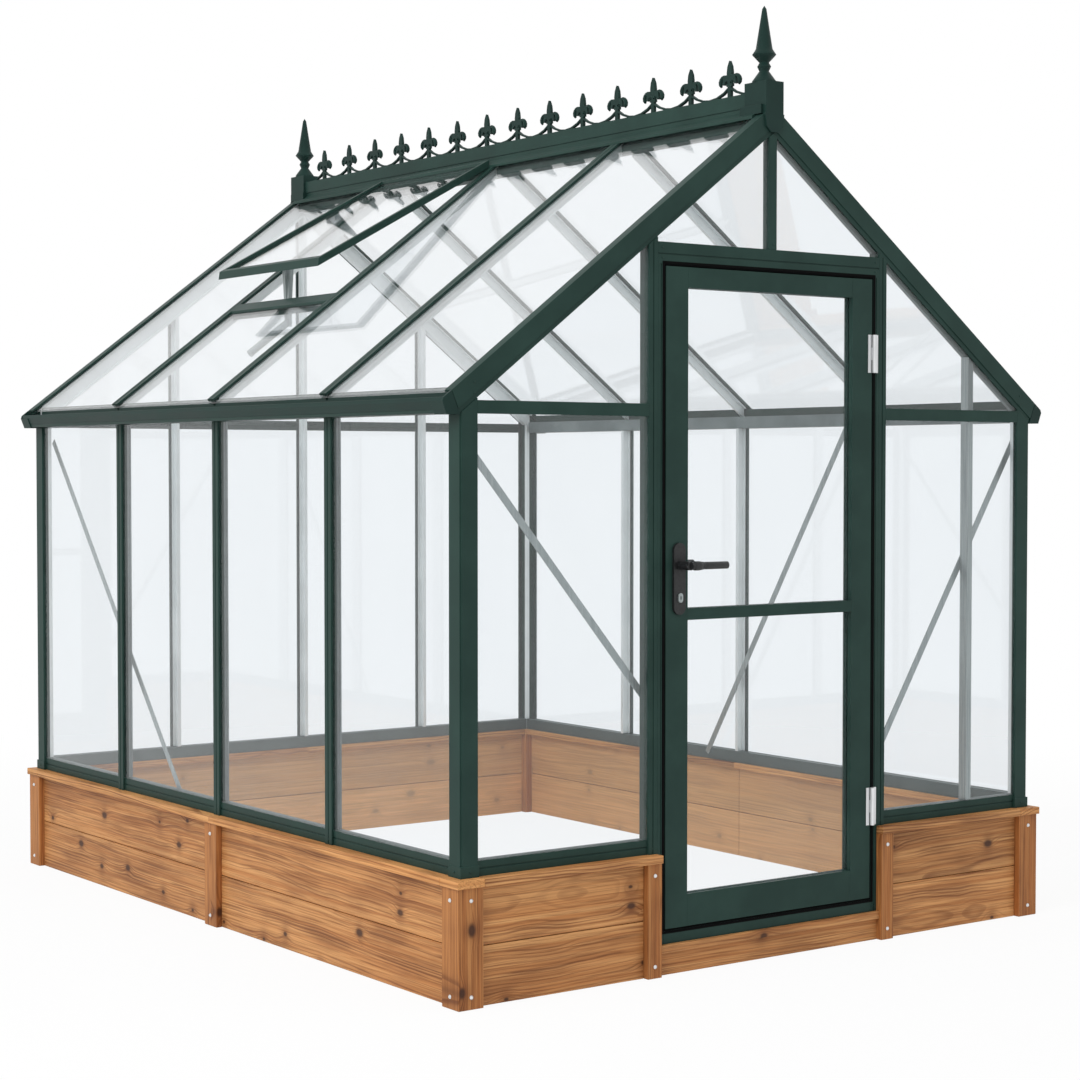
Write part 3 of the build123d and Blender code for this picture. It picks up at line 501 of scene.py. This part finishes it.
def knots(tree, length, height):
    """The pull of the nearest knot on the grain, the stain round it and its dark core."""
    cell = tree.vector(tree.sum("DIVIDE", length, knot_spacing), tree.sum("DIVIDE", height, knot_row), 0.0)
    found = tree.add("ShaderNodeTexVoronoi", {"Vector": cell, "Scale": 1.0}, voronoi_dimensions="2D").outputs
    offset = tree.vectors("SUBTRACT", cell, found["Position"])
    away = tree.times(tree.length(offset), knot_row)
    chance = tree.parts(found["Color"])
    kept = tree.sum("GREATER_THAN", chance[0], knot_chance)
    pull = tree.times(tree.bell(tree.sum("DIVIDE", away, halo_radius)), kept)
    spread = tree.length(tree.vectors("MULTIPLY", offset, stain_shares))
    stain = tree.times(tree.bell(spread), kept)
    size = tree.ease(chance[1], whole, (knot_small, knot_large))
    core = tree.times(tree.ease(tree.sum("DIVIDE", away, size), core_limits, falling), kept)
    return pull, stain, core


def ring_radius(tree, length, height, thick, luck, seed):
    """Distance from a pith that drifts along the board."""
    slow = tree.vector(tree.sum("DIVIDE", length, pith_wave), 0.0, seed)
    drift = tree.parts(tree.noise(slow, detail=pith_detail)[1])
    wander = tree.times(tree.stretched(length, height, seed, wander_length, wander_height), wander_reach)
    centre = tree.sum("ADD", tree.times(drift[0], pith_drift), tree.times(luck, pith_spread))
    across = tree.sum("ADD", tree.sum("SUBTRACT", height, centre), wander)
    waves = tree.stretched(length, height, seed, flame_length, flame_height, flame_detail)
    flame = tree.times(waves, flame_reach)
    below = tree.sum("ADD", tree.sum("ADD", tree.times(drift[1], pith_depth), thick), flame)
    square = tree.times(tree.sum("POWER", below, 2.0), ring_depth_share)
    return tree.sum("SQRT", tree.sum("ADD", tree.sum("POWER", across, 2.0), square))


def late_wood(tree, radius, seed):
    """Dark late wood of the rings, from zero to one."""
    group = tree.vector(tree.sum("DIVIDE", radius, ring_group), 0.0, seed)
    uneven = tree.parts(tree.noise(group, detail=ring_detail)[1])
    shifted = tree.sum("ADD", radius, tree.times(uneven[0], ring_shift))
    ring = tree.sum("FRACT", tree.sum("DIVIDE", shifted, ring_spacing))
    line = tree.times(tree.ease(ring, late_rise_limits), tree.ease(ring, late_fall_limits, falling))
    return tree.times(line, tree.ease(uneven[1], faint_limits, faint_shares))


def board_luck(tree, place, cell, seed):
    """Three random numbers for each board; cell names the directions in which boards change."""
    cells = {key: tree.sum("SIGN", place[key]) for key in "xy"}
    cells["z"] = tree.sum("FLOOR", tree.sum("DIVIDE", place["z"], course_height))
    marks = tree.vector(*[cells[key] if key in cell else 0.0 for key in "xyz"])
    board = tree.add("ShaderNodeTexWhiteNoise", {"Vector": marks, "W": seed}, noise_dimensions="4D")
    return tree.parts(board.outputs["Color"])


def wood_fibres(tree, length, height, thick):
    """Fine fibres along the board, from zero to one."""
    fine = tree.vector(tree.sum("DIVIDE", length, fibre_length), tree.sum("DIVIDE", height, fibre_width),
                       tree.sum("DIVIDE", thick, fibre_width))
    return tree.noise(fine, detail=fibre_detail, roughness=fibre_noise_roughness)[0]


def wood_colour(tree, stripe, patch, band, fibres):
    """Pale and middling stripes, darkened by patches, late wood and fibres."""
    colour = tree.mix(tree.ease(stripe, stripe_limits), wood_pale, wood_middle)
    darkening = (tree.ease(patch, patch_limits, patch_shares), tree.times(band, band_dark_share),
                 tree.ease(fibres, fibre_limits, fibre_shares))
    for share in darkening:
        colour = tree.mix(share, colour, wood_dark)
    return colour


def cedar(name, along, up, depth, cell, seed, shades=plain_shares, inside=0.0, knotty=True):
    """Cedar with growth rings, knots and fine fibres.

    Along, up and depth name the board's own directions; cell names the directions in which boards change.
    Shades tint the set, and inside is the share of painted light on its faces towards the room."""
    tree = new_tree(name)
    place = dict(zip("xyz", tree.place()))
    luck = board_luck(tree, place, cell, seed)
    length = tree.sum("ADD", place[along], tree.times(luck[0], board_shift))
    height = place[up]
    thick = tree.sum("SUBTRACT", plinth_edge[depth], tree.sum("ABSOLUTE", place[depth]))
    radius = ring_radius(tree, length, height, thick, luck[1], seed)
    if knotty:
        pull, stain, core = knots(tree, length, height)
        radius = tree.sum("ADD", radius, tree.times(pull, halo_push))
    fibres = wood_fibres(tree, length, height, thick)
    patch = tree.stretched(length, height, seed, patch_length, patch_height)
    stripe = tree.stretched(length, height, seed, stripe_length, stripe_height, stripe_detail)
    band = tree.times(late_wood(tree, radius, seed), tree.ease(patch, band_limits, band_shares))
    colour = wood_colour(tree, stripe, patch, band, fibres)
    if knotty:
        colour = tree.mix(tree.times(stain, stain_dark_share), colour, wood_dark)
        colour = tree.mix(tree.times(core, core_dark_share), colour, wood_knot)
    # Painted light: faces towards the room mixed towards pale wood
    if inside:
        colour = tree.mix(tree.ease(thick, inner_light_depths, (0.0, inside)), colour, wood_painted_light)
    tone = tree.ease(luck[2], whole, board_tone_shares)
    colour = tree.vectors("MULTIPLY", colour, tree.vector(*[tree.times(tone, shade) for shade in shades]))
    relief = tree.sum("ADD", tree.times(band, band_relief_share), fibres)
    return tree.surface(Base_Color=colour, Roughness=tree.ease(fibres, wood_rough_limits, wood_roughness),
                        Specular_IOR_Level=wood_shine, Normal=tree.bump(relief, wood_bump, wood_relief))


def floor_paper():
    """Plain pale floor with a soft shadow, white to the eye, in mirrors and through glass."""
    tree = new_tree("floor_paper")
    x, y = tree.place()[:2]
    away = tree.sum("SQRT", tree.sum("ADD", tree.sum("POWER", x, 2.0), tree.sum("POWER", y, 2.0)))
    lit = tree.add("ShaderNodeBsdfDiffuse", {"Color": floor_white}).outputs[0]
    glow = tree.add("ShaderNodeEmission", {"Color": white, "Strength": 1.0}).outputs[0]
    white_share = tree.ease(away, (floor_near, floor_far), (floor_near_share, 1.0))
    share = tree.times(seen_share(tree), white_share)
    return tree.finish(tree.add("ShaderNodeMixShader", {0: share, 1: lit, 2: glow}))


# Dressing of the solids
def dress(names, material):
    """Give solids a material."""
    for name in names:
        mesh = frame["nodes"][name].data
        mesh.materials.clear()
        mesh.materials.append(material)


def soften(names, width):
    """Round the sharp edges of solids."""
    for name in names:
        solid = frame["nodes"][name]
        weld = solid.modifiers.new("weld", "WELD")
        weld.merge_threshold = weld_distance
        flat = solid.modifiers.new("flat", "DECIMATE")
        flat.decimate_type = "DISSOLVE"
        flat.angle_limit = flat_angle
        bevel = solid.modifiers.new("bevel", "BEVEL")
        bevel.width = width
        bevel.segments = bevel_segments
        bevel.limit_method = "ANGLE"
        bevel.angle_limit = bevel_angle
        bevel.harden_normals = True


def slot_nodes(slot):
    """The solids that the record gives to a material slot."""
    return [part["node"] for part in frame["record"]["subparts"] if part["material_slot"] == slot]


def dress_frame():
    """Paint the frame: doorway, king post, vent, ridge and gutters all round, the rest bare on the inside."""
    nodes = slot_nodes("green_paint")
    ornaments = ["ridge_cresting", "ridge_finials"]
    deep = ["gutter_faces", "gutter_end_caps"] + ornaments
    full = ["ridge_beam"] + [name for name in nodes if name.startswith(("door_", "king_", "vent_"))]
    sills = [name for name in nodes if name.endswith(("_sill", "_sills"))]
    far = ["left_roof_bars", "right_roof_bars", "right_wall_bars", "back_gable_bars", "back_verge_rafters"]
    corners = ["corner_posts"]
    near = [name for name in nodes if name not in full + deep + sills + far + corners]
    dress(full, paint("green_coat"))
    # Gutters and ornaments in the darker green of painted shade
    dress(deep, paint("green_coat_shaded", coat_tones=shaded_green_tones))
    # Bare faces: grey and slate are painted shade near the eye, silver is painted light on far faces and
    # corners
    dress(sills, paint("green_coat_shaded_slate_inside", shaded_slate_tones))
    dress(far, paint("green_coat_lit_silver_inside", lit_silver_tones, far_bare_depth))
    dress(corners, paint("green_coat_lit_silver_corners", lit_silver_tones))
    dress(near, paint("green_coat_shaded_grey_inside", shaded_grey_tones))
    soften([name for name in nodes if name not in ornaments], metal_bevel)
    soften(["ridge_cresting"], ornament_bevel)
    soften(["ridge_finials"], finial_bevel)


def dress_plinth():
    """Give each set of boards cedar whose grain follows the boards."""
    for name, (solids, along, up, depth, cell, seed, looks) in board_sets.items():
        dress(solids, cedar(name, along, up, depth, cell, seed, **looks))
    soften(slot_nodes("cedar_wood"), wood_bevel)


def dress_fittings():
    """Glass, bare metal, black handle and bright hinges."""
    dress(slot_nodes("clear_glass"), glass("clear_pane"))
    drawn = drawn_metal("drawn_aluminium", mill_tones, mill_metallic, mill_roughness)
    dress(slot_nodes("mill_aluminium"), drawn)
    dress(slot_nodes("black_paint"), black_coat("black_coat"))
    dress(slot_nodes("bright_steel"), zinc("bright_zinc"))
    dress(["lock_cylinders"], drawn_metal("lock_steel", mill_tones, mill_metallic, lock_roughness))
    soften(slot_nodes("mill_aluminium"), metal_bevel)
    soften(["handle_plates", "door_lever"], ornament_bevel)


# Added pieces
def add_piece(name, mesh, material, body):
    """Put a finished mesh on a body."""
    made = bpy.data.meshes.new(name)
    mesh.normal_update()
    mesh.to_mesh(made)
    mesh.free()
    made.materials.append(material)
    piece = bpy.data.objects.new(name, made)
    bpy.context.scene.collection.objects.link(piece)
    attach(piece, body)


def turned(shares, radius, height, spots):
    """Turned pieces of one outline, each at a spot with its own outward direction."""
    mesh = bmesh.new()
    for place, outward in spots:
        seat = Matrix.Translation(place) @ outward.to_track_quat("Z", "Y").to_matrix().to_4x4()
        rings = []
        for out, rise in shares:
            turns = [step * math.tau / turned_steps for step in range(turned_steps if out else 1)]
            points = [(out * radius * math.cos(turn), out * radius * math.sin(turn), rise * height)
                      for turn in turns]
            rings.append([mesh.verts.new(seat @ Vector(point)) for point in points])
        mesh.faces.new(list(reversed(rings[0])))
        for lower, upper in zip(rings, rings[1:]):
            for step in range(turned_steps):
                after = (step + 1) % turned_steps
                top = [upper[0]] if len(upper) == 1 else [upper[after], upper[step]]
                mesh.faces.new([lower[step], lower[after]] + top)
    for face in mesh.faces:
        face.smooth = True
    return mesh


def add_box(mesh, low, high):
    """Add a box between two corners to a mesh."""
    made = bmesh.ops.create_cube(mesh, size=1.0)
    seat = Matrix.Translation((low + high) / 2) @ Matrix.Diagonal((*(high - low), 1.0))
    bmesh.ops.transform(mesh, matrix=seat, verts=made["verts"])


def seated(name, places, outward):
    """Spots on a solid's surface, looked for against the outward direction."""
    mesh = frame["nodes"][name].data
    corners = [vertex.co for vertex in mesh.vertices]
    surface = BVHTree.FromPolygons(corners, [face.vertices for face in mesh.polygons])
    hits = [surface.ray_cast(place + outward * seat_reach, -outward)[0] for place in places]
    return [(hit, outward) for hit in hits if hit is not None]


def plinth_bolts(material):
    """Two bolts on each outer face of the posts and battens, near top and bottom."""
    low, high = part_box("plinth_corner_posts")
    post = high.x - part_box("front_plinth_boards")[1].x
    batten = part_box("plinth_battens")
    spots = []
    for level in (high.z - bolt_inset, low.z + bolt_inset):
        for side in (-1, 1):
            out = Vector((side, 0, 0))
            spots.append((Vector((side * batten[1].x, 0, level)), out))
            spots.append((Vector((side * door_batten_middle(), batten[0].y, level)), Vector((0, -1, 0))))
            for end in (-1, 1):
                spots.append((Vector((side * high.x, end * (high.y - post / 2), level)), out))
                spots.append((Vector((side * (high.x - post / 2), end * high.y, level)), Vector((0, end, 0))))
    add_piece("plinth_bolts", turned(bolt_shares, bolt_radius, bolt_height, spots), material,
              "building")


def door_batten_middle():
    """Distance from the middle to the centre of the battens beside the door."""
    frame_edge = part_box("door_frame_sides")[1].x
    boards = [abs(vertex.co.x) for vertex in frame["nodes"]["front_plinth_boards"].data.vertices]
    return (frame_edge + min(boards)) / 2


def grouped(values, gap):
    """Values in order, parted where they lie further apart than the gap."""
    ordered = sorted(values)
    groups = [[ordered[0]]]
    for value in ordered[1:]:
        if value - groups[-1][-1] > gap:
            groups.append([])
        groups[-1].append(value)
    return groups


def bar_middles():
    """Middles along Y of the upright bars in the long walls."""
    places = [vertex.co.y for vertex in frame["nodes"]["left_wall_bars"].data.vertices]
    return [(group[0] + group[-1]) / 2 for group in grouped(places, bar_depth)]


def wall_screw_spots(level):
    """Screws at the feet of the long walls' bars and of the corner posts."""
    spots = []
    for side in (-1, 1):
        bars = [Vector((side * half_width, place, level)) for place in bar_middles()]
        name = "left_wall_bars" if side < 0 else "right_wall_bars"
        spots += seated(name, bars, Vector((side, 0, 0)))
        for end in (-1, 1):
            flank = Vector((side * half_width, end * (half_length - screw_pair), level))
            face = Vector((side * (half_width - screw_pair), end * half_length, level))
            spots += seated("corner_posts", [flank], Vector((side, 0, 0)))
            spots += seated("corner_posts", [face], Vector((0, end, 0)))
    return spots


def gable_screw_spots(level):
    """Screws round the door frame, at the king post's foot and at the feet of the rafters."""
    out = Vector((0, -1, 0))
    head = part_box("door_frame_head")
    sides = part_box("door_frame_sides")
    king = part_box("king_post")[0].z + screw_inset
    post = (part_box("door_posts")[1].x + sides[1].x) / 2
    spots = seated("king_post", [Vector((0, -half_length, king))], out)
    for side in (-1, 1):
        drops = (screw_inset, screw_inset + screw_pair)
        corner = side * (head[1].x - screw_inset)
        heads = [Vector((corner, -half_length, head[1].z - drop)) for drop in drops]
        spots += seated("door_frame_head", heads, out)
        spots += seated("door_posts", [Vector((side * post, -half_length, level))], out)
        foot = Vector((side * (sides[1].x - screw_inset), -half_length, sides[0].z + screw_inset))
        spots += seated("door_frame_sides", [foot], out)
        reach = half_width - screw_inset - screw_pair
        top = apex - reach * slope_tan - screw_inset
        feet = [Vector((side * reach, -half_length, top - drop)) for drop in drops]
        spots += seated("front_verge_rafters", feet, out)
    return spots


def frame_screws(material):
    """All the small painted screws."""
    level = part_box("left_sill")[0].z + screw_inset
    spots = wall_screw_spots(level) + gable_screw_spots(level)
    add_piece("frame_screws", turned(screw_shares, screw_radius, screw_height, spots), material,
              "building")


def add_curl(mesh, root, side, height):
    """Add a tapered tube that rises from a fleur's stem and bends down beside it."""
    middle = Vector((0, side * curl_middle_shares[0], curl_middle_shares[1]))
    turn = (curl_end - curl_start) / (len(curl_tube_shares) - 1)
    around = [step * math.tau / curl_steps for step in range(curl_steps)]
    flank = Vector((1, 0, 0))
    rings = []
    for index, tube in enumerate(curl_tube_shares):
        angle = curl_start + index * turn
        out = Vector((0, side * math.cos(angle), math.sin(angle)))
        centre = middle + out * curl_reach_share
        points = [centre + (out * math.cos(bearing) + flank * math.sin(bearing)) * tube for bearing in around]
        rings.append([mesh.verts.new(root + point * height) for point in points])
    for lower, upper in zip(rings, rings[1:]):
        for step in range(curl_steps):
            after = (step + 1) % curl_steps
            mesh.faces.new([lower[step], lower[after], upper[after], upper[step]])
    mesh.faces.new(rings[0])
    mesh.faces.new(rings[-1])


def crest_curls(material):
    """The curled side petals of all the fleurs."""
    low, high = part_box("ridge_cresting")
    pitch = (high.y - low.y) / crest_count
    mesh = bmesh.new()
    for index in range(crest_count):
        root = Vector((0, low.y + (index + 0.5) * pitch, low.z))
        for side in (-1, 1):
            add_curl(mesh, root, side, high.z - low.z)
    bmesh.ops.recalc_face_normals(mesh, faces=mesh.faces[:])
    for face in mesh.faces:
        face.smooth = True
    add_piece("crest_curls", mesh, material, "building")


def lever_necks(material):
    """The thicker necks of the levers beside their hubs."""
    low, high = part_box("door_lever")
    level = (low.z + high.z) / 2
    start = low.x + handle_reach / 2
    spots = [(Vector((start, depth, level)), Vector((1, 0, 0)))
             for depth in (low.y + lever_radius, high.y - lever_radius)]
    add_piece("lever_necks", turned(neck_shares, neck_radius, neck_length, spots), material,
              "lever")


def key_slot_shadows(material):
    """A black box of painted shade for the key slot in each lock face."""
    low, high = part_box("lock_cylinders")
    middle = (low + high) / 2
    mesh = bmesh.new()
    for face, out in ((low.y, -1), (high.y, 1)):
        depths = sorted((face - out * slot_proud, face + out * slot_proud))
        add_box(mesh, Vector((middle.x - slot_width / 2, depths[0], middle.z - slot_height / 2)),
                Vector((middle.x + slot_width / 2, depths[1], middle.z + slot_height / 2)))
    add_piece("key_slot_shadows", mesh, material, "door")


def hinge_ends():
    """Lowest and highest levels of the hinges, from the bottom up."""
    levels = [vertex.co.z for vertex in frame["nodes"]["hinge_frame_leaves"].data.vertices]
    return [end for group in grouped(levels, hinge_apart) for end in (group[0], group[-1])]


def gap_shadow_lips(mesh, face, jamb, low, high):
    """Add flat black lips of painted shadow on the face of the door frame, with breaks at the hinges."""
    rim = jamb + lip_width
    foot = low - lip_width
    top = high + lip_width
    breaks = [foot, *hinge_ends(), top]
    lips = [(-rim, -jamb, foot, top), (-jamb, jamb, foot, low), (-jamb, jamb, high, top)]
    lips += [(jamb, rim, *ends) for ends in zip(breaks[::2], breaks[1::2])]
    for left, right, start, end in lips:
        add_box(mesh, Vector((left, face - lip_proud, start)), Vector((right, face + lip_proud, end)))


def door_gap_shadow(material):
    """Painted shadow: black strips on the frame, in the gap round the door leaf and lipped over the frame's
    face.
    """
    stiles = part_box("door_stiles")
    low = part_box("door_threshold")[1].z
    gap = stiles[0].z - low
    high = stiles[1].z + gap
    jamb = stiles[1].x + gap
    reach = jamb - gap_shadow_thickness
    front = stiles[0].y + gap_shadow_front
    back = stiles[1].y + gap
    mesh = bmesh.new()
    for edges in ((-jamb, -reach), (reach, jamb)):
        add_box(mesh, Vector((edges[0], front, low)), Vector((edges[1], back, high)))
    for levels in ((low, low + gap_shadow_thickness), (high - gap_shadow_thickness, high)):
        add_box(mesh, Vector((-reach, front, levels[0])), Vector((reach, back, levels[1])))
    gap_shadow_lips(mesh, stiles[0].y, jamb, low, high)
    bmesh.ops.bevel(mesh, geom=mesh.edges[:], offset=gap_shadow_bevel, segments=bevel_segments, affect="EDGES")
    add_piece("door_gap_shadow", mesh, material, "building")


# Stage
def build_floor():
    """The pale floor."""
    mesh = bmesh.new()
    bmesh.ops.create_grid(mesh, x_segments=1, y_segments=1, size=floor_size / 2)
    made = bpy.data.meshes.new("floor")
    mesh.to_mesh(made)
    mesh.free()
    made.materials.append(floor_paper())
    floor = bpy.data.objects.new("floor", made)
    floor.location.z = floor_level
    bpy.context.scene.collection.objects.link(floor)


def build_world():
    """Even white surroundings, seen at full white and lighting at a plain level."""
    world = bpy.data.worlds.new("studio")
    bpy.context.scene.world = world
    tree = Tree(world)
    levels = {"Value": seen_share(tree), "To Min": world_strength, "To Max": 1.0}
    strength = tree.add("ShaderNodeMapRange", levels).outputs[0]
    sky = tree.add("ShaderNodeBackground", {"Color": white, "Strength": strength}).outputs[0]
    tree.add("ShaderNodeOutputWorld", {"Surface": sky})


def add_lamp(name, place, power, size):
    """A soft square lamp that faces the middle of the greenhouse."""
    data = bpy.data.lights.new(name, "AREA")
    data.energy = power
    data.size = size
    lamp = bpy.data.objects.new(name, data)
    lamp.location = place
    lamp.visible_glossy = False
    middle = (cad_low + cad_high) / 2
    lamp.rotation_euler = (middle - place).to_track_quat("-Z", "Y").to_euler()
    bpy.context.scene.collection.objects.link(lamp)


def build_camera():
    """The camera at the photo's view."""
    data = bpy.data.cameras.new("photo_view")
    data.lens = camera_lens
    data.sensor_width = camera_sensor
    camera = bpy.data.objects.new("photo_view", data)
    camera.location = camera_place
    flat = math.cos(camera_pitch)
    ahead = Vector((math.sin(camera_yaw) * flat, math.cos(camera_yaw) * flat, -math.sin(camera_pitch)))
    camera.rotation_euler = ahead.to_track_quat("-Z", "Y").to_euler()
    bpy.context.scene.collection.objects.link(camera)
    bpy.context.scene.camera = camera


dress_frame()
dress_plinth()
dress_fittings()
# Black that stands in for shadow, in the door's gap and the key slots
painted_shadow_black = coating("painted_shadow_black", shadow_black_tones, shadow_black_roughness, shadow_black_shine)
plinth_bolts(zinc("bolt_zinc"))
frame_screws(paint("green_screws"))
# Curls in the darker green of painted shade
crest_curls(paint("green_curls", coat_tones=shaded_green_tones))
lever_necks(black_coat("black_neck"))
# Painted shade of the key slots
key_slot_shadows(painted_shadow_black)
door_gap_shadow(painted_shadow_black)
build_floor()
build_world()
add_lamp("key", key_place, key_power, key_size)
add_lamp("fill", fill_place, fill_power, fill_size)
build_camera()
bpy.context.scene.view_settings.view_transform = "Standard"
